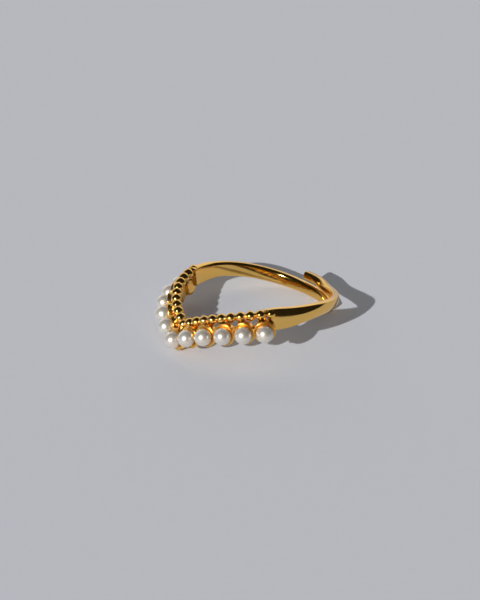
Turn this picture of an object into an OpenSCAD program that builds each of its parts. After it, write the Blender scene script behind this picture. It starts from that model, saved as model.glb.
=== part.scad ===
// Open chevron ring: a row of pearls in round cups hangs from a chain of small balls.
// A band runs back from each end of the rows, and its two free ends pass side by side.
// Turns are degrees round the finger from the tip of the chevron, positive on the right.
// The ring lies on its side with its front towards -Y and +Z up. It rests on the tip's
// cup and the left side of the band, and the origin is under the middle of the whole ring.

/* [Finger hole] */
// Inside diameter of the band
finger_d = 17.4; // [16.5:0.1:18.5]

/* [Balls] */
// Diameter of each small ball
ball_d = 1.24; // [1.2:0.02:1.3]
// Distance from one ball to the next, a little under their diameter so that they join
ball_pitch = 1.16; // [1.14:0.01:1.18]
// Balls on each side of the one at the tip
balls_a_side = 10; // [9:1:10]

/* [Pearls] */
// Diameter of each pearl
pearl_d = 2; // [1.8:0.05:2.05]
// Distance from one pearl to the next
pearl_pitch = 2.48; // [2.4:0.01:2.55]
// Pearls on each side of the one at the tip
pearls_a_side = 5; // [4:1:5]
// How far the pearls stand out past the balls
pearl_reach = 1.27; // [1.2:0.01:1.35]
// How far the tip's pearl lies below the tip's ball
pearl_drop = 1.89; // [1.85:0.01:1.95]

/* [Cups] */
// Outside diameter of each round cup at its open rim
cup_d = 2.48; // [2.4:0.01:2.5]
// Outside diameter of the cup at its back
cup_back_d = 2.1; // [2.05:0.01:2.2]
// How far the cup's flat back lies behind the pearl's centre
cup_deep = 1.7; // [1.6:0.01:1.75]
// Rounding between the cup's wall and its back
cup_corner = 0.4; // [0.3:0.05:0.5]
// How far the cup's open rim lies behind the pearl's centre
rim_back = 0.45; // [0.35:0.01:0.55]
// Gap left for glue between a pearl and the metal
glue_gap = 0.03; // [0.02:0.01:0.05]
// Diameter of the peg that each pearl is threaded on
peg_d = 0.5; // [0.4:0.05:0.6]
// Diameter of the neck between the tip's cup and its ball
tip_neck_d = 1.08; // [1:0.02:1.1]
// Diameter of the last neck on each side
last_neck_d = 0.9; // [0.8:0.02:1]

/* [Band] */
// Rounding along the band's outer edges
edge_round = 0.12; // [0.08:0.01:0.15]
// Rounding along the right side's inner edges
right_inner_round = 0.22; // [0.15:0.01:0.25]
// Rounding along the left side's inner edges
left_inner_round = 0.4; // [0.3:0.01:0.42]
// Cross sections along each side of the band
sections_a_side = 30; // [20:1:36]

/* [Hidden] */
$fn = 64;

RIGHT = 1;
LEFT = -1;

// A row of balls or pearls: its radius, its spacing, how steeply it climbs from the tip
// and how much that eases per millimetre, how far the tip is pushed out, and its drop
RADIUS = 0;
PITCH = 1;
CLIMB = 2;
EASE = 3;
PUSH = 4;
DROP = 5;
ball_row = [(finger_d + ball_d) / 2, ball_pitch, 0.5, 0.0112, 0.27, 0];
pearl_row = [ball_row[RADIUS] + pearl_reach, pearl_pitch, 0.42, 0.0079, 0.11, pearl_drop];
push_fades_over = 9.5;

// The band's cross sections: the turn, the height of its middle, its width from edge
// to edge, its thickness in the middle of the crowned outside, that at its edges, and
// how far it is bent in from a true circle
TURN = 0;
LIFT = 1;
TALL = 2;
MID = 3;
EDGE = 4;
BENT = 5;
right_band = [
    [64.5, 3.32, 2.50, 0.92, 0.80, 0.05],
    [72, 3.68, 2.50, 1.08, 0.96, 0],
    [80, 3.98, 2.29, 1.14, 0.92, 0],
    [90, 4.39, 1.95, 1.16, 0.86, 0],
    [100, 4.72, 1.69, 1.09, 0.82, 0.05],
    [112, 4.93, 1.47, 0.98, 0.78, 0.15],
    [132, 5.04, 1.30, 0.90, 0.77, 0.28],
    [155, 4.92, 1.15, 0.92, 0.82, 0.30],
    [176, 4.86, 1.05, 1.02, 0.93, 0.15],
    [190, 5.20, 1.00, 1.12, 1.02, 0],
    [202, 5.33, 0.98, 1.16, 1.06, 0]
];
left_band = [
    [64.5, 3.30, 2.48, 0.92, 0.80, 0.05],
    [78, 3.74, 2.08, 1.06, 0.86, 0],
    [90, 4.10, 1.79, 1.00, 0.74, 0],
    [103, 4.26, 1.69, 1.00, 0.72, 0],
    [120, 4.26, 1.60, 1.00, 0.76, 0],
    [140, 4.08, 1.48, 1.00, 0.85, 0],
    [160, 3.85, 1.26, 1.00, 0.90, 0],
    [176, 3.67, 1.16, 1.00, 0.90, 0],
    [185, 3.45, 1.08, 1.00, 0.90, 0],
    [194, 3.09, 1.04, 1.00, 0.90, 0]
];
crown_points = 5;
inner_points = 3;
corner_steps = 3;

// How far the crowned inside leans over at its edges, in degrees
inner_lean = 5.3;

// How far the end at the balls and the free end are rounded over, in steps that stop
// short of a right angle
start_round = 0.12;
end_round = 0.22;
end_steps = 3;
end_tilt = 77;

// The end at the balls is cut aslant, by this much in its height, and the slant dies out
start_slant = 0.25;
slant_fades_over = 20;

// The peg starts in front of the cup's wall and ends inside it. Its hole is a little deeper
peg_start = 0.3;
peg_end = pearl_d / 2 + 0.3;
hole_start = 0.25;

// The outline of a cup's rim and of its rounded back
rim_round = 0.1;
rim_steps = 4;
back_steps = 5;

// The neck starts this far behind the pearl's centre, at this part of the cup's radius,
// with a foot that narrows towards the ball. The necks get slimmer up each side
neck_back = 0.9;
neck_slims = 0.012;
neck_start = 0.75;
neck_foot_d = 1.6;
neck_foot_h = 0.5;

// How the ring comes to rest: its front tipped up, rolled towards the right, and the
// middle of its bounding box brought over the origin
lie_tip = 17.41;
lie_roll = 7.18;
set_down = [0.41, 0.47, 0.016];

function on_ring(turn, r, z) = [r * sin(turn), -r * cos(turn), z];
function unit(v) = v / norm(v);

function arc_at(row, turn) = row[RADIUS] * turn * PI / 180;
function radius_at(row, turn) =
    row[RADIUS] + row[PUSH] * pow(1 - arc_at(row, turn) / push_fades_over, 2);
function slope_at(row, turn) = row[CLIMB] - 2 * row[EASE] * arc_at(row, turn);
function turn_step(row, turn) =
    row[PITCH] / norm([1, slope_at(row, turn)]) / radius_at(row, turn) * 180 / PI;
function turn_of(row, k) =
    k == 0 ? 0 : let (before = turn_of(row, k - 1)) before + turn_step(row, before);
function place_of(row, k, side) =
    let (turn = turn_of(row, k), arc = arc_at(row, turn))
    on_ring(side * turn, radius_at(row, turn), row[CLIMB] * arc - row[EASE] * arc * arc - row[DROP]);

// A table's column at any turn, on a smooth curve through its rows
function row_before(table, turn, i = 0) =
    (i == len(table) - 2 || turn < table[i + 1][TURN]) ? i : row_before(table, turn, i + 1);
function rise(a, b, column) = (b[column] - a[column]) / (b[TURN] - a[TURN]);
function smooth(table, column, turn) =
    let (
        i = row_before(table, turn),
        a = table[max(i - 1, 0)],
        b = table[i],
        c = table[i + 1],
        d = table[min(i + 2, len(table) - 1)],
        span = c[TURN] - b[TURN],
        u = (turn - b[TURN]) / span,
        leave = rise(a, c, column) * span,
        arrive = rise(b, d, column) * span
    )
    b[column] * (2 * u * u * u - 3 * u * u + 1) + leave * (u * u * u - 2 * u * u + u)
    + c[column] * (3 * u * u - 2 * u * u * u) + arrive * (u * u * u - u * u);

function arc(centre, r, from, to, steps) =
    [for (i = [0:steps])
        let (a = from + (to - from) * i / steps)
        centre + r * [cos(a), sin(a)]];

// One cross section as points [out from the finger hole, up], crowned inside and outside
function profile(tall, mid, edge, inner_round) =
    let (
        lean = atan(2 * (mid - edge) / (tall / 2 - edge_round / 2)),
        out_half = tall / 2 - edge_round * (1 - sin(lean)),
        hollow = min(inner_round, edge / 2),
        in_half = tall / 2 - hollow * (1 - sin(inner_lean)),
        inner_crown = in_half * tan(inner_lean) / 2,
        in_corner = [inner_crown + hollow * cos(inner_lean), tall / 2 - hollow],
        out_corner = [edge - edge_round * cos(lean), tall / 2 - edge_round],
        upper = concat(
            arc(in_corner, hollow, 180 - inner_lean, 90, corner_steps),
            arc(out_corner, edge_round, 90, lean, corner_steps)
        )
    )
    concat(
        upper,
        [for (i = [1:crown_points])
            let (u = 1 - 2 * i / (crown_points + 1))
            [edge + (mid - edge) * (1 - u * u), u * out_half]],
        [for (i = [len(upper) - 1:-1:0]) [upper[i][0], -upper[i][1]]],
        [for (i = [1:inner_points])
            let (u = 2 * i / (inner_points + 1) - 1)
            [inner_crown * u * u, u * in_half]]
    );

function band_middle(table, side, turn) =
    on_ring(side * turn, finger_d / 2 - smooth(table, BENT, turn), smooth(table, LIFT, turn));
function band_section(table, side, turn, inset, inner_round) =
    let (
        nudge = 0.5,
        middle = band_middle(table, side, turn),
        along = unit(band_middle(table, side, turn + nudge) - band_middle(table, side, turn - nudge)),
        slant = start_slant * pow(max(0, 1 - (turn - table[0][TURN]) / slant_fades_over), 2),
        out = on_ring(side * turn, 1, 0),
        up = side * cross(out, along) - slant * along
    )
    [for (p = profile(smooth(table, TALL, turn) - 2 * inset,
                      smooth(table, MID, turn) - 2 * inset,
                      smooth(table, EDGE, turn) - 2 * inset,
                      inner_round))
        middle + (p[0] + inset) * out + p[1] * up];

function turn_along(length) = length / (finger_d / 2) * 180 / PI;

module band_side(table, side, inner_round) {
    body_start = table[0][TURN] + turn_along(start_round);
    body_end = table[len(table) - 1][TURN] - turn_along(end_round);
    tilts = [for (i = [1:end_steps]) end_tilt * i / end_steps];
    stations = concat(
        [for (i = [end_steps - 1:-1:0])
            [body_start - turn_along(start_round) * sin(tilts[i]), start_round * (1 - cos(tilts[i]))]],
        [for (i = [0:sections_a_side])
            [body_start + (body_end - body_start) * i / sections_a_side, 0]],
        [for (a = tilts)
            [body_end + turn_along(end_round) * sin(a), end_round * (1 - cos(a))]]
    );
    rings = [for (s = stations) band_section(table, side, s[0], s[1], inner_round)];
    points = [for (ring = rings) each ring];
    n = len(rings[0]);
    last = len(rings) - 1;
    walls = [for (i = [0:last - 1]) for (j = [0:n - 1])
        let (a = i * n + j, b = i * n + (j + 1) % n)
        each [[a, b, b + n], [a, b + n, a + n]]];
    front_cap = [for (j = [1:n - 2]) [0, j + 1, j]];
    back_cap = [for (j = [1:n - 2]) [last * n, last * n + j, last * n + j + 1]];
    faces = concat(walls, front_cap, back_cap);
    polyhedron(points, side == LEFT ? faces : [for (f = faces) [f[0], f[2], f[1]]]);
}

module ball(k, side) {
    translate(place_of(ball_row, k, side))
        rotate([90, -90, side * turn_of(ball_row, k)])
            sphere(d = ball_d);
}

// Turned so that -Y points out of the ring at pearl k
module at_pearl(k, side) {
    translate(place_of(pearl_row, k, side)) rotate([0, 0, side * turn_of(pearl_row, k)]) children();
}

// Half of a cup's outline as points [from its axis, forward of the pearl's centre]
function cup_outline() =
    let (
        lean = atan2((cup_d - cup_back_d) / 2, cup_deep - rim_back),
        back_centre = [cup_back_d / 2 - cup_corner, cup_corner - cup_deep],
        rim_centre = [cup_d / 2 - rim_round, -rim_back - rim_round]
    )
    concat(
        [[0, -cup_deep]],
        arc(back_centre, cup_corner, -90, -lean, back_steps),
        arc(rim_centre, rim_round, -lean, 90, rim_steps),
        [[0, -rim_back]]
    );

module cup(k, side) {
    at_pearl(k, side) {
        difference() {
            rotate([90, 0, 0]) rotate_extrude() polygon(cup_outline());
            rotate([90, 90, 0]) sphere(d = pearl_d + 2 * glue_gap);
        }
        translate([0, peg_end, 0]) rotate([90, 0, 0]) cylinder(d = peg_d, h = peg_end - peg_start);
    }
}

// The neck runs from behind a cup up to the ball above it
module neck(k, side) {
    ball_place = place_of(ball_row, max(2 * k - 1, 0), side);
    pearl_place = place_of(pearl_row, k, side);
    cup_place = pearl_place - neck_back * on_ring(side * turn_of(pearl_row, k), 1, 0);
    start = cup_place + neck_start * cup_d / 2 * unit(ball_place - cup_place);
    v = ball_place - start;
    neck_d = max(last_neck_d, tip_neck_d - neck_slims * k * k);
    translate(start) rotate([0, acos(v[2] / norm(v)), atan2(v[1], v[0])]) {
        cylinder(d = neck_d, h = norm(v));
        cylinder(d1 = neck_foot_d, d2 = neck_d, h = neck_foot_h);
    }
}

module laid_down() {
    translate(set_down) rotate([-lie_tip, -lie_roll, 0]) children();
}

// Everything that is soldered: the band, the balls, the cups with their pegs, the necks
module ring_metal() {
    color("gold") laid_down() {
        band_side(right_band, RIGHT, right_inner_round);
        band_side(left_band, LEFT, left_inner_round);
        ball(0, RIGHT);
        cup(0, RIGHT);
        neck(0, RIGHT);
        for (side = [RIGHT, LEFT]) {
            for (k = [1:balls_a_side]) ball(k, side);
            for (k = [1:pearls_a_side]) {
                cup(k, side);
                neck(k, side);
            }
        }
    }
}

// Drilled halfway through from behind for its peg
module pearl(k, side) {
    color("white") laid_down() at_pearl(k, side)
        difference() {
            sphere(d = pearl_d);
            translate([0, pearl_d, 0]) rotate([90, 0, 0])
                cylinder(d = peg_d + 2 * glue_gap, h = pearl_d - hole_start);
        }
}

ring_metal();
pearl(0, RIGHT);  // pearl_tip
for (k = [1:pearls_a_side]) {
    pearl(k, RIGHT);
    pearl(k, LEFT);
}
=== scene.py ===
"""An open chevron ring of gold-plated metal, set with white pearls, lying on its side."""

import math

import bpy
import numpy as np
from mathutils import Matrix, Vector


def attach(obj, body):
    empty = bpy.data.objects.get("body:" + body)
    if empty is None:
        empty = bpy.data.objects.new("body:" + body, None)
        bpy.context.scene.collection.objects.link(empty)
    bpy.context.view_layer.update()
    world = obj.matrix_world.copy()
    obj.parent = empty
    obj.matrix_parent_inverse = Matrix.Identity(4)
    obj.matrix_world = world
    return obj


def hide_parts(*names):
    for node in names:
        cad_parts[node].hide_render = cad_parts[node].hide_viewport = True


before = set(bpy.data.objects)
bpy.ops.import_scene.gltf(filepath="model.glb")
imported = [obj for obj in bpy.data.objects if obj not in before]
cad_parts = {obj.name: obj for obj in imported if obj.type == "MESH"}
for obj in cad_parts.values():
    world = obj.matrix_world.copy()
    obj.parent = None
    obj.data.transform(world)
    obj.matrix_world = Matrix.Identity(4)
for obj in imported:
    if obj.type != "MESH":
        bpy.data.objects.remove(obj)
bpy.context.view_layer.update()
scene = bpy.context.scene
MM = 0.001


# The studio
# The ring lies on a plain pale sheet, under a low lamp in front. Behind the camera the room is
# dark, and behind the ring stands a broad pale backdrop. A weak even light fills the shadows,
# and the gold throws a little soft light back on the sheet.
def new_node(tree, kind, inputs=None, **settings):
    made = tree.nodes.new(kind)
    for name, value in settings.items():
        setattr(made, name, value)
    for key, value in (inputs or {}).items():
        made.inputs[key].default_value = value
    return made


def join(tree, *links):
    """Each link runs from one node's output to another one's input"""
    for start, end in links:
        tree.links.new(start, end)


def direction(azimuth, elevation):
    """Towards a thing seen at that azimuth, from -Y round to +X, and elevation, in degrees"""
    a, e = math.radians(azimuth), math.radians(elevation)
    return Vector((math.sin(a) * math.cos(e), -math.cos(a) * math.cos(e), math.sin(e)))


camera_azimuth, camera_elevation, camera_roll = 58.17, 29.65, 0.6
camera_distance = 432.6 * MM
camera_aim = Vector((-0.79, -0.47, 3.15)) * MM
lens_mm = 223.2
lamp_azimuth, lamp_elevation = 25, 27
lamp_spread = 1
lamp_strength = 3.4
room_colour = (0.018, 0.017, 0.015, 1)
backdrop_colour = (0.82, 0.79, 0.75, 1)
backdrop_top, backdrop_blur = 42, 4
backdrop_starts, backdrop_full = 0.3, 0.7
fill_colour = (0.12, 0.127, 0.14, 1)
sheet_colour = (0.64, 0.655, 0.70, 1)
sheet_shade = (0.62, 0.635, 0.68, 1)
sheet_size = 4
mottles_a_mm = 0.9
thrown_light_blur, thrown_light_limit = 0.25, 40

camera = bpy.data.objects.new("camera", bpy.data.cameras.new("camera"))
scene.collection.objects.link(camera)
towards_camera = direction(camera_azimuth, camera_elevation)
camera.location = camera_aim + towards_camera * camera_distance
roll = Matrix.Rotation(math.radians(-camera_roll), 4, "Z").to_quaternion()
camera.rotation_mode = "QUATERNION"
camera.rotation_quaternion = towards_camera.to_track_quat("Z", "Y") @ roll
camera.data.lens = lens_mm
camera.data.clip_start = 0.01
camera.data.clip_end = 10
scene.camera = camera
scene.view_settings.view_transform = "Standard"
scene.cycles.blur_glossy = thrown_light_blur
scene.cycles.sample_clamp_indirect = thrown_light_limit

lamp = bpy.data.objects.new("lamp", bpy.data.lights.new("lamp", "SUN"))
scene.collection.objects.link(lamp)
lamp.rotation_mode = "QUATERNION"
lamp.rotation_quaternion = direction(lamp_azimuth, lamp_elevation).to_track_quat("Z", "Y")
lamp.data.angle = math.radians(lamp_spread)
lamp.data.energy = lamp_strength

scene.world = bpy.data.worlds.new("room")
scene.world.use_nodes = True
room = scene.world.node_tree
looking = new_node(room, "ShaderNodeTexCoord")
backwards = new_node(
    room, "ShaderNodeVectorMath", {1: direction(camera_azimuth + 180, 0)}, operation="DOT_PRODUCT"
)
glow = new_node(
    room, "ShaderNodeMapRange", {"From Min": backdrop_starts, "From Max": backdrop_full},
    interpolation_type="SMOOTHSTEP",
)
height = new_node(room, "ShaderNodeSeparateXYZ")
below_top = new_node(
    room, "ShaderNodeMapRange",
    {
        "From Min": math.sin(math.radians(backdrop_top + backdrop_blur)),
        "From Max": math.sin(math.radians(backdrop_top - backdrop_blur)),
    },
    interpolation_type="SMOOTHSTEP",
)
lit = new_node(room, "ShaderNodeMath", operation="MULTIPLY")
walls = new_node(room, "ShaderNodeMix", {6: room_colour, 7: backdrop_colour}, data_type="RGBA")
ray = new_node(room, "ShaderNodeLightPath")
filled = new_node(room, "ShaderNodeMix", {7: fill_colour}, data_type="RGBA", blend_type="ADD")
background = room.nodes["Background"]
join(
    room,
    (looking.outputs["Generated"], backwards.inputs[0]),
    (backwards.outputs["Value"], glow.inputs["Value"]),
    (looking.outputs["Generated"], height.inputs[0]),
    (height.outputs["Z"], below_top.inputs["Value"]),
    (glow.outputs["Result"], lit.inputs[0]),
    (below_top.outputs["Result"], lit.inputs[1]),
    (lit.outputs["Value"], walls.inputs[0]),
    (walls.outputs[2], filled.inputs[6]),
    (ray.outputs["Is Diffuse Ray"], filled.inputs[0]),
    (filled.outputs[2], background.inputs["Color"]),
)


def link_mesh(name, vertices, faces):
    """A new object at the origin with a smooth mesh"""
    mesh = bpy.data.meshes.new(name)
    mesh.from_pydata([tuple(v) for v in vertices], [], faces)
    mesh.validate()
    mesh.shade_smooth()
    made = bpy.data.objects.new(name, mesh)
    scene.collection.objects.link(made)
    return made


half = sheet_size / 2
sheet_corners = [(-half, -half, 0), (half, -half, 0), (half, half, 0), (-half, half, 0)]
sheet = link_mesh("sheet", sheet_corners, [(0, 1, 2, 3)])
paper = bpy.data.materials.new("pale_paper")
paper.use_nodes = True
paper_surface = paper.node_tree.nodes["Principled BSDF"]
paper_surface.inputs["Roughness"].default_value = 0.9
paper_surface.inputs["Specular IOR Level"].default_value = 0.1
spot = new_node(paper.node_tree, "ShaderNodeTexCoord")
fibres = new_node(paper.node_tree, "ShaderNodeTexNoise", {"Scale": mottles_a_mm / MM, "Detail": 4})
mottled = new_node(
    paper.node_tree, "ShaderNodeMix", {6: sheet_colour, 7: sheet_shade}, data_type="RGBA"
)
join(
    paper.node_tree,
    (spot.outputs["Object"], fibres.inputs["Vector"]),
    (fibres.outputs["Fac"], mottled.inputs[0]),
    (mottled.outputs[2], paper_surface.inputs["Base Color"]),
)
sheet.data.materials.append(paper)


# The chain of balls
# A row of small solid balls runs over the front of the chevron, from one side of the band to
# the other. They are soldered into one chain, plated with gold and polished bright.
finger_d = 17.4
ball_d = 1.24
ball_sides = 64
ball_steps = 36
ball_pitch = 1.16
balls_a_side = 10
RIGHT, LEFT = 1, -1
crease = math.radians(40)
lie_tip = math.radians(17.41)
lie_roll = math.radians(7.18)
set_down = Vector((0.41, 0.47, 0.016))
# As it lies: its front tipped up, rolled towards the right and set on the sheet, in metres
laid_down = (
    Matrix.Scale(MM, 4)
    @ Matrix.Translation(set_down)
    @ Matrix.Rotation(-lie_roll, 4, "Y")
    @ Matrix.Rotation(-lie_tip, 4, "X")
)
# A row's radius and spacing, how steeply it climbs from the tip and how much that eases in
# each mm, how far the tip is pushed out, and how far the row lies below the balls
ball_row = {
    "radius": (finger_d + ball_d) / 2,
    "pitch": ball_pitch,
    "climb": 0.5,
    "ease": 0.0112,
    "push": 0.27,
    "drop": 0,
}
push_fades_over = 9.5
ripples_a_mm, grains_a_mm, clouds_a_mm = 1.1, 7, 0.6
pale_gold = (0.95, 0.58, 0.155, 1)
deep_gold = (0.94, 0.565, 0.14, 1)


def on_ring(turn, radius, height):
    """A place at that turn round the finger, in degrees from the tip, positive on the right"""
    a = math.radians(turn)
    return Vector((radius * math.sin(a), -radius * math.cos(a), height))


def row_places(row, count, side):
    """The turn and the place of each ball or pearl of a row, from the tip up one side"""
    turn, found = 0, []
    for _ in range(count + 1):
        arc = row["radius"] * math.radians(turn)
        radius = row["radius"] + row["push"] * (1 - arc / push_fades_over) ** 2
        height = row["climb"] * arc - row["ease"] * arc * arc - row["drop"]
        found.append((side * turn, on_ring(side * turn, radius, height)))
        slope = row["climb"] - 2 * row["ease"] * arc
        turn += math.degrees(row["pitch"] / math.hypot(1, slope) / radius)
    return found


def turned(name, outline, around):
    """A closed shape turned on a lathe: an outline of [radius, height] points, pole to pole"""
    vertices, faces = [], []
    rings = []
    for radius, height in outline:
        if radius < 1e-6:
            rings.append([len(vertices)])
            vertices.append((0, 0, height * MM))
            continue
        rings.append(list(range(len(vertices), len(vertices) + around)))
        for i in range(around):
            a = 2 * math.pi * i / around
            vertices.append((radius * math.cos(a) * MM, radius * math.sin(a) * MM, height * MM))
    for low, high in zip(rings, rings[1:]):
        for i in range(around):
            j = (i + 1) % around
            corners = [low[i % len(low)], low[j % len(low)], high[j % len(high)], high[i % len(high)]]
            faces.append(tuple(dict.fromkeys(corners)))
    return link_mesh(name, vertices, faces)


def arc_points(centre, radius, start, end, steps):
    """Points on an arc of an outline, both ends included, angles in degrees"""
    angles = np.radians(np.linspace(start, end, steps + 1))
    return [(centre[0] + radius * math.cos(a), centre[1] + radius * math.sin(a)) for a in angles]


def new_group(name, tree_kind, inputs, outputs):
    """An empty group of nodes. Its inputs and outputs are given as labels with their kinds"""
    made = bpy.data.node_groups.new(name, tree_kind)
    for way, sockets in (("INPUT", inputs), ("OUTPUT", outputs)):
        for label, kind in sockets.items():
            made.interface.new_socket(label, in_out=way, socket_type="NodeSocket" + kind)
    return made


# The polish: slow ripples, a fine grain, and cloudy patches that shine a little less
polish = new_group(
    "polish", "ShaderNodeTree",
    {"Place": "Vector", "Seed": "Float", "Ripple": "Float", "Grain": "Float"},
    {"Height": "Float", "Haze": "Float", "Tone": "Float"},
)
ins = new_node(polish, "NodeGroupInput")
ripples = new_node(polish, "ShaderNodeTexNoise", {"Scale": ripples_a_mm, "Detail": 1})
grains = new_node(polish, "ShaderNodeTexNoise", {"Scale": grains_a_mm, "Detail": 2})
clouds = new_node(polish, "ShaderNodeTexNoise", {"Scale": clouds_a_mm, "Detail": 4})
swell = new_node(polish, "ShaderNodeMath", operation="MULTIPLY")
relief = new_node(polish, "ShaderNodeMath", operation="MULTIPLY_ADD")
hazed = new_node(polish, "ShaderNodeMapRange", {"From Min": 0.35, "From Max": 0.65})
toned = new_node(polish, "ShaderNodeMapRange", {"From Min": 0.3, "From Max": 0.7})
outs = new_node(polish, "NodeGroupOutput")
for texture in (ripples, grains, clouds):
    texture.noise_dimensions = "4D"
    polish.links.new(ins.outputs["Place"], texture.inputs["Vector"])
    polish.links.new(ins.outputs["Seed"], texture.inputs["W"])
join(
    polish,
    (ripples.outputs["Fac"], swell.inputs[0]),
    (ins.outputs["Ripple"], swell.inputs[1]),
    (grains.outputs["Fac"], relief.inputs[0]),
    (ins.outputs["Grain"], relief.inputs[1]),
    (swell.outputs["Value"], relief.inputs[2]),
    (clouds.outputs["Fac"], hazed.inputs["Value"]),
    (grains.outputs["Fac"], toned.inputs["Value"]),
    (relief.outputs["Value"], outs.inputs["Height"]),
    (hazed.outputs["Result"], outs.inputs["Haze"]),
    (toned.outputs["Result"], outs.inputs["Tone"]),
)


def gold(name, seed, ripple, grain, brightest, dullest):
    """Polished gold plating. Ripple and grain are heights in mm, brightest and dullest roughness"""
    made = bpy.data.materials.new(name)
    made.use_nodes = True
    tree = made.node_tree
    surface = tree.nodes["Principled BSDF"]
    surface.inputs["Metallic"].default_value = 1
    place = new_node(tree, "ShaderNodeTexCoord", name="place")
    in_mm = new_node(tree, "ShaderNodeVectorMath", {"Scale": 1 / MM}, operation="SCALE")
    finish = {"Seed": seed, "Ripple": ripple, "Grain": grain}
    polished = new_node(tree, "ShaderNodeGroup", finish, node_tree=polish)
    colour = new_node(tree, "ShaderNodeMix", {6: pale_gold, 7: deep_gold}, data_type="RGBA")
    dull = new_node(tree, "ShaderNodeMapRange", {"To Min": brightest, "To Max": dullest}, name="dull")
    relief = new_node(tree, "ShaderNodeBump", {"Strength": 1, "Distance": MM}, name="relief")
    join(
        tree,
        (place.outputs["Object"], in_mm.inputs[0]),
        (in_mm.outputs[0], polished.inputs["Place"]),
        (polished.outputs["Tone"], colour.inputs[0]),
        (colour.outputs[2], surface.inputs["Base Color"]),
        (polished.outputs["Haze"], dull.inputs["Value"]),
        (dull.outputs["Result"], surface.inputs["Roughness"]),
        (polished.outputs["Height"], relief.inputs["Height"]),
        (relief.outputs["Normal"], surface.inputs["Normal"]),
    )
    return made


set_tree = new_group(
    "set_in_row", "GeometryNodeTree",
    {"Places": "Geometry", "Shape": "Object", "Metal": "Material"},
    {"Pieces": "Geometry"},
)
ins = new_node(set_tree, "NodeGroupInput")
shape = new_node(set_tree, "GeometryNodeObjectInfo")
facing = new_node(
    set_tree, "GeometryNodeInputNamedAttribute", {"Name": "facing"}, data_type="FLOAT_VECTOR"
)
turn_to = new_node(set_tree, "FunctionNodeAlignRotationToVector", axis="Z")
placed = new_node(set_tree, "GeometryNodeInstanceOnPoints")
real = new_node(set_tree, "GeometryNodeRealizeInstances")
coated = new_node(set_tree, "GeometryNodeSetMaterial")
outs = new_node(set_tree, "NodeGroupOutput")
join(
    set_tree,
    (ins.outputs["Shape"], shape.inputs["Object"]),
    (ins.outputs["Places"], placed.inputs["Points"]),
    (shape.outputs["Geometry"], placed.inputs["Instance"]),
    (facing.outputs["Attribute"], turn_to.inputs["Vector"]),
    (turn_to.outputs["Rotation"], placed.inputs["Rotation"]),
    (placed.outputs["Instances"], real.inputs["Geometry"]),
    (real.outputs["Geometry"], coated.inputs["Geometry"]),
    (ins.outputs["Metal"], coated.inputs["Material"]),
    (coated.outputs["Geometry"], outs.inputs["Pieces"]),
)


def grown(name, places, edges, attribute, values, tree, inputs):
    """The plain mesh that a tree grows on places, each with a value of its own"""
    mesh = bpy.data.meshes.new(name)
    mesh.from_pydata([tuple(laid_down @ p) for p in places], edges, [])
    kind = "FLOAT" if isinstance(values[0], float) else "FLOAT_VECTOR"
    layer = mesh.attributes.new(attribute, kind, "POINT")
    field = "value" if kind == "FLOAT" else "vector"
    layer.data.foreach_set(field, np.array(values).ravel())
    made = bpy.data.objects.new(name, mesh)
    scene.collection.objects.link(made)
    modifier = made.modifiers.new(tree.name, "NODES")
    modifier.node_group = tree
    sockets = {s.name: s.identifier for s in tree.interface.items_tree if s.in_out == "INPUT"}
    for label, value in inputs.items():
        modifier[sockets[label]] = value
    graph = bpy.context.evaluated_depsgraph_get()
    plain = bpy.data.meshes.new_from_object(made.evaluated_get(graph))
    made.modifiers.remove(modifier)
    made.data = plain
    plain.set_sharp_from_angle(angle=crease)
    return made


ball_places = {side: row_places(ball_row, balls_a_side, side) for side in (RIGHT, LEFT)}
chain = [p for _, p in reversed(ball_places[LEFT][1:])] + [p for _, p in ball_places[RIGHT]]
ball_shape = turned("ball_shape", arc_points((0, 0), ball_d / 2, -90, 90, ball_steps), ball_sides)
bright_gold = gold("bright_gold", seed=1, ripple=0.002, grain=0.0002, brightest=0.09, dullest=0.13)
ball_chain = grown(
    "ball_chain", chain, [], "facing", [laid_down.to_3x3() @ Vector((0, 0, 1)) for p in chain],
    set_tree, {"Shape": ball_shape, "Metal": bright_gold},
)
bpy.data.objects.remove(ball_shape)
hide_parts("ring_metal")
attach(ball_chain, "root")


# The solder between the balls
# A little solder fills each joint, so that the chain is one strong bar. It is plated and
# polished with the balls.
solder_fillet = 0.08
solder_steps = 12
rod_sides = 48


def fillet_thickness(distance, ball, rod, fillet):
    """Half thickness of a joint's fillet at a distance from a ball's centre, down to the rod's"""
    middle = math.sqrt((ball / 2 + fillet) ** 2 - (rod / 2 + fillet) ** 2)
    if distance > middle:
        return rod / 2
    return rod / 2 + fillet - math.sqrt(max(fillet ** 2 - (distance - middle) ** 2, 0))


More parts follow.
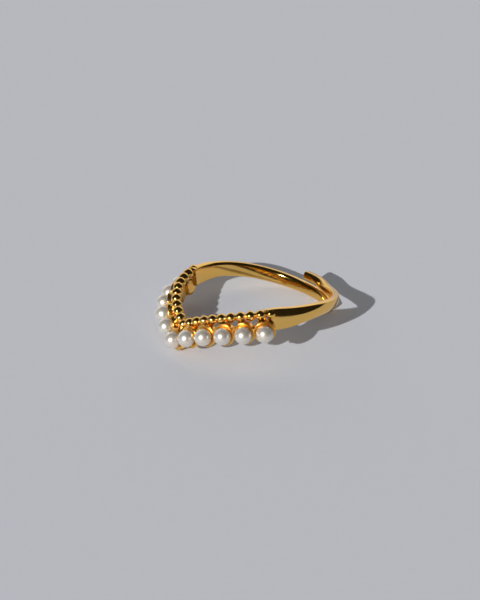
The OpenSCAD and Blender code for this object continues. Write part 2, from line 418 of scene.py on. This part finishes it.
rod_tree = new_group(
    "rod_along_line", "GeometryNodeTree",
    {"Lines": "Geometry", "Metal": "Material", "Sides": "Int"},
    {"Rods": "Geometry"},
)
ins = new_node(rod_tree, "NodeGroupInput")
lines = new_node(rod_tree, "GeometryNodeMeshToCurve")
thick = new_node(rod_tree, "GeometryNodeInputNamedAttribute", {"Name": "thick"}, data_type="FLOAT")
round_section = new_node(rod_tree, "GeometryNodeCurvePrimitiveCircle", {"Radius": 1})
swept = new_node(rod_tree, "GeometryNodeCurveToMesh", {"Fill Caps": True})
soft = new_node(rod_tree, "GeometryNodeSetShadeSmooth")
coated = new_node(rod_tree, "GeometryNodeSetMaterial")
outs = new_node(rod_tree, "NodeGroupOutput")
join(
    rod_tree,
    (ins.outputs["Lines"], lines.inputs["Mesh"]),
    (lines.outputs["Curve"], swept.inputs["Curve"]),
    (thick.outputs["Attribute"], swept.inputs["Scale"]),
    (ins.outputs["Sides"], round_section.inputs["Resolution"]),
    (round_section.outputs["Curve"], swept.inputs["Profile Curve"]),
    (swept.outputs["Mesh"], soft.inputs["Geometry"]),
    (soft.outputs["Geometry"], coated.inputs["Geometry"]),
    (ins.outputs["Metal"], coated.inputs["Material"]),
    (coated.outputs["Geometry"], outs.inputs["Rods"]),
)


def rods(name, lines_given, steps, metal):
    """Round rods between pairs of centres. Each has its thickness as a function along it"""
    places, edges, thickness = [], [], []
    for start, end, near, far, law in lines_given:
        first = len(places)
        length = (end - start).length
        for i in range(steps + 1):
            along = near + (length - near - far) * i / steps
            places.append(start + (end - start) * (along / length))
            thickness.append(float(law(along, length)) * MM)
        edges += [(first + i, first + i + 1) for i in range(steps)]
    return grown(name, places, edges, "thick", thickness, rod_tree, {"Metal": metal, "Sides": rod_sides})


waist = 2 * (math.sqrt((ball_d / 2 + solder_fillet) ** 2 - (ball_pitch / 2) ** 2) - solder_fillet)
reach = ball_pitch / 2 * (ball_d / 2) / (ball_d / 2 + solder_fillet)


def solder_law(along, length):
    return fillet_thickness(min(along, length - along), ball_d, waist, solder_fillet)


ball_solder = rods(
    "ball_solder", [(a, b, reach, reach, solder_law) for a, b in zip(chain, chain[1:])],
    solder_steps, bright_gold,
)
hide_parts("ring_metal")
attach(ball_solder, "root")


# The cups
# Each pearl sits in a round cup of cast metal, open to the front, with a short peg in its
# middle that the pearl is threaded on and glued to. The plated gold is less smooth here.
pearl_d = 2
pearl_pitch = 2.48
pearls_a_side = 5
pearl_reach = 1.27
pearl_drop = 1.89
cup_d = 2.62
cup_back_d = 2.4
cup_sides = 72
corner_steps, rim_steps, lip_steps, seat_steps = 12, 10, 6, 14
cup_tilt = math.radians(12)
cup_deep = 1.7
cup_corner = 0.4
rim_back = 0.45
glue_gap = 0.03
peg_d = 0.5
peg_front = -0.3
rim_round = 0.08
lip_back = 0.6
pearl_row = {
    "radius": ball_row["radius"] + pearl_reach,
    "pitch": pearl_pitch,
    "climb": 0.42,
    "ease": 0.0079,
    "push": 0.11,
    "drop": pearl_drop,
}
pearl_places = {side: row_places(pearl_row, pearls_a_side, side) for side in (RIGHT, LEFT)}
settings = pearl_places[RIGHT] + pearl_places[LEFT][1:]


def cup_axis(turn):
    """The way that a cup opens, outwards and a little down"""
    return on_ring(turn, math.cos(cup_tilt), -math.sin(cup_tilt))


seat = pearl_d / 2 + glue_gap
wall_lean = math.degrees(math.atan2((cup_d - cup_back_d) / 2, cup_deep - rim_back))
rim_centre = (cup_d / 2 - rim_round, -rim_back - rim_round)
back_centre = (cup_back_d / 2 - cup_corner, -cup_deep + cup_corner)
lip_centre = (math.sqrt((seat + rim_round) ** 2 - (lip_back + rim_round) ** 2), -lip_back - rim_round)
dish = 90 + math.degrees(math.atan2(lip_back - rim_back, rim_centre[0] - lip_centre[0]))
lip_lean = math.degrees(math.atan2(-lip_centre[1], -lip_centre[0]))
seat_start = math.degrees(math.atan2(lip_centre[1], lip_centre[0]))
peg_foot = -math.sqrt(seat ** 2 - (peg_d / 2) ** 2)
seat_end = math.degrees(math.atan2(peg_foot, peg_d / 2))
cup_outline = (
    [(0, -cup_deep)]
    + arc_points(back_centre, cup_corner, -90, -wall_lean, corner_steps)
    + arc_points(rim_centre, rim_round, -wall_lean, dish, rim_steps)
    + arc_points(lip_centre, rim_round, dish, lip_lean, lip_steps)
    + arc_points((0, 0), seat, seat_start, seat_end, seat_steps)[1:]
    + [(peg_d / 2, peg_front), (0, peg_front)]
)
cup_shape = turned("cup_shape", cup_outline, cup_sides)
cup_gold = gold("cup_gold", seed=2, ripple=0.01, grain=0.012, brightest=0.2, dullest=0.32)
cups = grown(
    "cups", [p for _, p in settings], [], "facing",
    [laid_down.to_3x3() @ cup_axis(turn) for turn, _ in settings],
    set_tree, {"Shape": cup_shape, "Metal": cup_gold},
)
bpy.data.objects.remove(cup_shape)
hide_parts("ring_metal")
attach(cups, "root")


# The solder between the cups
# The cups touch, and a little solder joins each one to the next behind their rims. It is
# plated with the rest.
solder_depth = 1.1
solder_start = 1.16
solder_d = 1.3
cup_fillet = 0.25
cup_solder_steps = 16
cup_middles = [
    place - solder_depth * cup_axis(turn)
    for turn, place in pearl_places[LEFT][:0:-1] + pearl_places[RIGHT]
]


def cup_solder_law(along, length):
    return fillet_thickness(min(along, length - along), cup_d, solder_d, cup_fillet)


cup_joints = [
    (a, b, solder_start, solder_start, cup_solder_law) for a, b in zip(cup_middles, cup_middles[1:])
]
cup_solder = rods("cup_solder", cup_joints, cup_solder_steps, bright_gold)
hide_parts("ring_metal")
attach(cup_solder, "root")


# The necks
# A short round neck of plated metal joins each cup to a ball of the chain above it. It is
# soldered at both ends, and flares into both.
tip_neck_d = 1.08
last_neck_d = 0.9
neck_slims = 0.012
neck_fillet = 0.12
neck_flare = 0.3
neck_depth = 1.05
neck_start = 0.9
neck_steps = 24
neck_lines = []


def neck_law(thick):
    def half_thickness(along, length):
        low = fillet_thickness(along, cup_d, thick, neck_flare)
        return max(low, fillet_thickness(length - along, ball_d, thick, neck_fillet))
    return half_thickness


for side in (RIGHT, LEFT):
    for k, (turn, place) in enumerate(pearl_places[side]):
        if k == 0 and side == LEFT:
            continue
        cup_centre = place - neck_depth * cup_axis(turn)
        ball_centre = ball_places[side][max(2 * k - 1, 0)][1]
        into_cup = cup_d / 2 * neck_start
        neck_d = max(last_neck_d, tip_neck_d - neck_slims * k * k)
        into_ball = math.sqrt(ball_d ** 2 - neck_d ** 2) / 2 * neck_start
        neck_lines.append((cup_centre, ball_centre, into_cup, into_ball, neck_law(neck_d)))
necks = rods("necks", neck_lines, neck_steps, bright_gold)
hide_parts("ring_metal")
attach(necks, "root")


# The band
# A bar of plated metal, almost flat inside and crowned outside, is soldered to each end of the
# rows. It narrows to a squared bar, and its polished end passes beside the other one's behind
# the finger.
TURN, LIFT, TALL, MID, EDGE, BENT = range(6)
# Cross sections: the turn, the height of the middle, the size from edge to edge, the thickness
# in the middle and at the edges, and how far the bar is bent in from a true circle
right_band = (
    (64.5, 3.32, 2.50, 0.92, 0.80, 0.05),
    (72, 3.68, 2.50, 1.08, 0.96, 0),
    (80, 3.98, 2.29, 1.14, 0.92, 0),
    (90, 4.39, 1.95, 1.16, 0.86, 0),
    (100, 4.72, 1.69, 1.09, 0.82, 0.05),
    (112, 4.93, 1.47, 0.98, 0.78, 0.15),
    (132, 5.04, 1.30, 0.90, 0.77, 0.28),
    (155, 4.92, 1.15, 0.92, 0.82, 0.30),
    (176, 4.86, 1.05, 1.02, 0.93, 0.15),
    (190, 5.20, 1.00, 1.12, 1.02, 0),
    (202, 5.33, 0.98, 1.16, 1.06, 0),
)
left_band = (
    (64.5, 3.30, 2.48, 0.92, 0.80, 0.05),
    (78, 3.74, 2.08, 1.06, 0.86, 0),
    (90, 4.10, 1.79, 1.00, 0.74, 0),
    (103, 4.26, 1.69, 1.00, 0.72, 0),
    (120, 4.26, 1.60, 1.00, 0.76, 0),
    (140, 4.08, 1.48, 1.00, 0.85, 0),
    (160, 3.85, 1.26, 1.00, 0.90, 0),
    (176, 3.67, 1.16, 1.00, 0.90, 0),
    (185, 3.45, 1.08, 1.00, 0.90, 0),
    (194, 3.09, 1.04, 1.00, 0.90, 0),
)
edge_round = 0.12
# The rounding of the inner edges, the upper and the lower one
inner_round = {RIGHT: (0.22, 0.22), LEFT: (0.4, 0.15)}
inner_lean = 5.3
start_round = 0.12
start_slant = 0.25
slant_fades_over = 20
end_round = 0.22
sections_along = 150
end_steps = 8
end_tilt = 86
streaks_a_mm = (0.3, 9, 1)
streak_depth = 0.0006
scratches_a_mm = 11
scratch_depth = 0.003
rub_roughness = 0.15
free_twist = 11
twist_middle = 174
twist_reach = 34
rub_middle = 125
rub_reach = 60
inner_steps, outer_steps, wall_steps, crown_steps = 10, 6, 10, 32
rim_points = inner_steps + outer_steps + 2


def smooth(table, column, turn):
    """A table's column at any turn, on a smooth curve through its rows"""
    i = max(0, min(len(table) - 2, sum(row[TURN] <= turn for row in table) - 1))
    a, b, c, d = (table[min(max(j, 0), len(table) - 1)] for j in (i - 1, i, i + 1, i + 2))
    span = c[TURN] - b[TURN]
    u = (turn - b[TURN]) / span
    leave = (c[column] - a[column]) / (c[TURN] - a[TURN]) * span
    arrive = (d[column] - b[column]) / (d[TURN] - b[TURN]) * span
    return (
        b[column] * (2 * u**3 - 3 * u**2 + 1)
        + leave * (u**3 - 2 * u**2 + u)
        + c[column] * (3 * u**2 - 2 * u**3)
        + arrive * (u**3 - u**2)
    )


def band_profile(tall, mid, edge, top_round, bottom_round):
    """Points round one cross section as (out from the finger hole, up)"""
    lean = math.degrees(math.atan(2 * (mid - edge) / (tall / 2 - edge_round / 2)))
    out_half = tall / 2 - edge_round * (1 - math.sin(math.radians(lean)))
    out_corner = (edge - edge_round * math.cos(math.radians(lean)), tall / 2 - edge_round)
    halves = []
    for inside_round in (top_round, bottom_round):
        hollow = min(inside_round, edge / 2)
        in_half = tall / 2 - hollow * (1 - math.sin(math.radians(inner_lean)))
        crown = in_half * math.tan(math.radians(inner_lean)) / 2
        in_corner = (crown + hollow * math.cos(math.radians(inner_lean)), tall / 2 - hollow)
        corners = arc_points(in_corner, hollow, 180 - inner_lean, 90, inner_steps)
        corners += arc_points(out_corner, edge_round, 90, lean, outer_steps)
        wall = [(crown * u * u, u * in_half) for u in np.linspace(0, 1, wall_steps + 1)[:-1].tolist()]
        halves.append((corners, wall))
    (upper, wall_above), (below, wall_below) = halves
    across_crown = np.linspace(1, -1, crown_steps + 1)[1:-1].tolist()
    outside = [(edge + (mid - edge) * (1 - u * u), u * out_half) for u in across_crown]
    lower = [(x, -y) for x, y in reversed(below)]
    inside = [(x, -y) for x, y in reversed(wall_below[1:])] + wall_above
    return upper + outside + lower + inside


def band_middle(table, side, turn):
    return on_ring(side * turn, finger_d / 2 - smooth(table, BENT, turn), smooth(table, LIFT, turn))


def band_section(table, side, turn, inset):
    nudge = 0.5
    middle = band_middle(table, side, turn)
    ahead = band_middle(table, side, turn + nudge) - band_middle(table, side, turn - nudge)
    out = on_ring(side * turn, 1, 0)
    up = side * out.cross(ahead.normalized())
    tall, mid, edge = (smooth(table, column, turn) - 2 * inset for column in (TALL, MID, EDGE))
    slant = start_slant * max(0, 1 - (turn - table[0][TURN]) / slant_fades_over) ** 2
    up -= slant * ahead.normalized()
    off_middle = min(1, abs(turn - twist_middle) / twist_reach)
    twist = math.radians(free_twist) * math.cos(math.pi / 2 * off_middle) ** 2 if side == RIGHT else 0
    pivot = mid / 2 + inset
    across = out * math.cos(twist) - up * math.sin(twist)
    upright = up * math.cos(twist) + out * math.sin(twist)
    return [
        middle + pivot * out + (x + inset - pivot) * across + y * upright
        for x, y in band_profile(tall, mid, edge, *inner_round[side])
    ]


def band_side(name, table, side, metal):
    """One side of the band as a closed mesh, with both of its ends rounded over"""
    start_turn, end_turn = (math.degrees(r / (finger_d / 2)) for r in (start_round, end_round))
    first, last = table[0][TURN] + start_turn, table[-1][TURN] - end_turn
    tilts = [math.radians(end_tilt * i / end_steps) for i in range(1, end_steps + 1)]
    stations = [
        (first - start_turn * math.sin(a), start_round * (1 - math.cos(a))) for a in reversed(tilts)
    ]
    stations += [(first + (last - first) * i / sections_along, 0) for i in range(sections_along + 1)]
    stations += [(last + end_turn * math.sin(a), end_round * (1 - math.cos(a))) for a in tilts]
    rings = [band_section(table, side, turn, inset) for turn, inset in stations]
    n = len(rings[0])
    vertices = [tuple(laid_down @ p) for ring in rings for p in ring]
    faces = []
    for i in range(len(rings) - 1):
        for j in range(n):
            a, b = i * n + j, i * n + (j + 1) % n
            faces.append((a, b, b + n, a + n))
    faces.append(tuple(range(n))[::-1])
    faces.append(tuple((len(rings) - 1) * n + j for j in range(n)))
    if side == LEFT:
        faces = [tuple(reversed(f)) for f in faces]
    made = link_mesh(name, vertices, faces)
    made.data.set_sharp_from_angle(angle=crease)
    along = np.cumsum([0] + [(b[0] - a[0]).length for a, b in zip(rings, rings[1:])])
    middle = rings[len(rings) // 2]
    around = np.cumsum([0] + [(middle[(j + 1) % n] - middle[j]).length for j in range(n)])
    lengthwise = made.data.uv_layers.new(name="lengthwise")
    for face in made.data.polygons:
        # A face that closes the section runs on past its last point
        wraps = {made.data.loops[loop].vertex_index % n for loop in face.loop_indices} == {0, n - 1}
        for loop in face.loop_indices:
            i, j = divmod(made.data.loops[loop].vertex_index, n)
            lengthwise.data[loop].uv = (along[i], around[n if wraps and j == 0 else j])
    rubbed = []
    for turn, _ in stations:
        off_middle = min(1, abs(turn - rub_middle) / rub_reach)
        rub = math.cos(math.pi / 2 * off_middle) ** 2 if side == RIGHT else 0
        rubbed += [rub if j < rim_points else 0 for j in range(n)]
    made.data.attributes.new("rubbed", "FLOAT", "POINT").data.foreach_set("value", rubbed)
    made.data.materials.append(metal)
    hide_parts("ring_metal")
    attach(made, "root")


band_gold = gold("band_gold", seed=3, ripple=0.004, grain=0.0004, brightest=0.07, dullest=0.12)
tree = band_gold.node_tree
along_band = new_node(tree, "ShaderNodeUVMap", uv_map="lengthwise")
stretched = new_node(tree, "ShaderNodeMapping", {"Scale": streaks_a_mm})
streaks = new_node(tree, "ShaderNodeTexNoise", {"Scale": 1, "Detail": 2})
streak_height = new_node(tree, "ShaderNodeBump", {"Strength": 1, "Distance": streak_depth * MM})
rub = new_node(tree, "ShaderNodeAttribute", attribute_name="rubbed")
scratches = new_node(tree, "ShaderNodeTexNoise", {"Scale": scratches_a_mm / MM, "Detail": 2})
scratch_height = new_node(tree, "ShaderNodeBump", {"Distance": scratch_depth * MM})
rub_dulls = new_node(tree, "ShaderNodeMath", {1: rub_roughness}, operation="MULTIPLY_ADD")
join(
    tree,
    (tree.nodes["place"].outputs["Object"], scratches.inputs["Vector"]),
    (scratches.outputs["Fac"], scratch_height.inputs["Height"]),
    (rub.outputs["Fac"], scratch_height.inputs["Strength"]),
    (rub.outputs["Fac"], rub_dulls.inputs[0]),
    (tree.nodes["dull"].outputs["Result"], rub_dulls.inputs[2]),
    (rub_dulls.outputs["Value"], tree.nodes["Principled BSDF"].inputs["Roughness"]),
    (along_band.outputs["UV"], stretched.inputs["Vector"]),
    (stretched.outputs["Vector"], streaks.inputs["Vector"]),
    (streaks.outputs["Fac"], streak_height.inputs["Height"]),
    (tree.nodes["relief"].outputs["Normal"], streak_height.inputs["Normal"]),
    (streak_height.outputs["Normal"], scratch_height.inputs["Normal"]),
    (scratch_height.outputs["Normal"], tree.nodes["Principled BSDF"].inputs["Normal"]),
)
band_side("band_right", right_band, RIGHT, band_gold)
band_side("band_left", left_band, LEFT, band_gold)


# The pearls
# Round white pearls with a glossy lustre, drilled from behind nearly to the middle, and
# glued on the pegs of their cups.
hole_start = 0.25
hole_mouth = 0.03
pearl_sides = 96
pearl_steps = 48
warm_white = (0.82, 0.705, 0.59, 1)
cool_white = (0.765, 0.735, 0.655, 1)
painted_sheen_white = (0.79, 0.80, 0.80, 1)
tints_a_mm, layers_a_mm = 0.8, 2.5
layer_height = 0.002
glossiest, softest = 0.32, 0.38

lustre = bpy.data.materials.new("pearl_lustre")
lustre.use_nodes = True
nacre = lustre.node_tree.nodes["Principled BSDF"]
nacre.inputs["Metallic"].default_value = 0.67
nacre.inputs["Coat Weight"].default_value = 0.7
nacre.inputs["Coat Roughness"].default_value = 0.12
place = new_node(lustre.node_tree, "ShaderNodeTexCoord")
clouds = new_node(lustre.node_tree, "ShaderNodeTexNoise", {"Scale": tints_a_mm / MM, "Detail": 2})
layers = new_node(lustre.node_tree, "ShaderNodeTexNoise", {"Scale": layers_a_mm / MM, "Detail": 1})
cloudy = new_node(lustre.node_tree, "ShaderNodeMapRange", {"From Min": 0.35, "From Max": 0.65})
body = new_node(lustre.node_tree, "ShaderNodeMix", {6: warm_white, 7: cool_white}, data_type="RGBA")
# Towards the edges the body colour turns to a paler, cooler white: a painted sheen that stands in for
# the reflection seen edge-on
edge_on = new_node(lustre.node_tree, "ShaderNodeLayerWeight", {"Blend": 0.3})
painted_edge_sheen = new_node(lustre.node_tree, "ShaderNodeMix", {7: painted_sheen_white}, data_type="RGBA")
dull = new_node(lustre.node_tree, "ShaderNodeMapRange", {"To Min": glossiest, "To Max": softest})
relief = new_node(lustre.node_tree, "ShaderNodeBump", {"Strength": 1, "Distance": layer_height * MM})
join(
    lustre.node_tree,
    (place.outputs["Object"], clouds.inputs["Vector"]),
    (place.outputs["Object"], layers.inputs["Vector"]),
    (clouds.outputs["Fac"], cloudy.inputs["Value"]),
    (cloudy.outputs["Result"], body.inputs[0]),
    (body.outputs[2], painted_edge_sheen.inputs[6]),
    (edge_on.outputs["Facing"], painted_edge_sheen.inputs[0]),
    (painted_edge_sheen.outputs[2], nacre.inputs["Base Color"]),
    (layers.outputs["Fac"], dull.inputs["Value"]),
    (dull.outputs["Result"], nacre.inputs["Roughness"]),
    (layers.outputs["Fac"], relief.inputs["Height"]),
    (relief.outputs["Normal"], nacre.inputs["Normal"]),
)


hole_r = peg_d / 2 + glue_gap
mouth_turn = math.degrees(math.asin((hole_r + hole_mouth) / (pearl_d / 2)))
pearl_outline = (
    [(0, -hole_start), (hole_r, -hole_start), (hole_r, -pearl_d / 2 + 2 * hole_mouth)]
    + arc_points((0, 0), pearl_d / 2, -90 + mouth_turn, 90, pearl_steps)
)


def pearl(name, node, turn, place):
    made = turned(name, pearl_outline, pearl_sides)
    facing = cup_axis(turn).to_track_quat("Z", "Y").to_matrix().to_4x4()
    made.data.transform(laid_down @ Matrix.Translation(place) @ facing @ Matrix.Scale(1 / MM, 4))
    made.data.set_sharp_from_angle(angle=crease)
    made.data.materials.append(lustre)
    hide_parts(node)
    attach(made, "root")


pearl("tip_pearl", "pearl_tip", *pearl_places[RIGHT][0])
for side, word in ((RIGHT, "right"), (LEFT, "left")):
    for k in range(1, pearls_a_side + 1):
        pearl(f"{word}_pearl_{k}", f"pearl_{word}_{k}", *pearl_places[side][k])
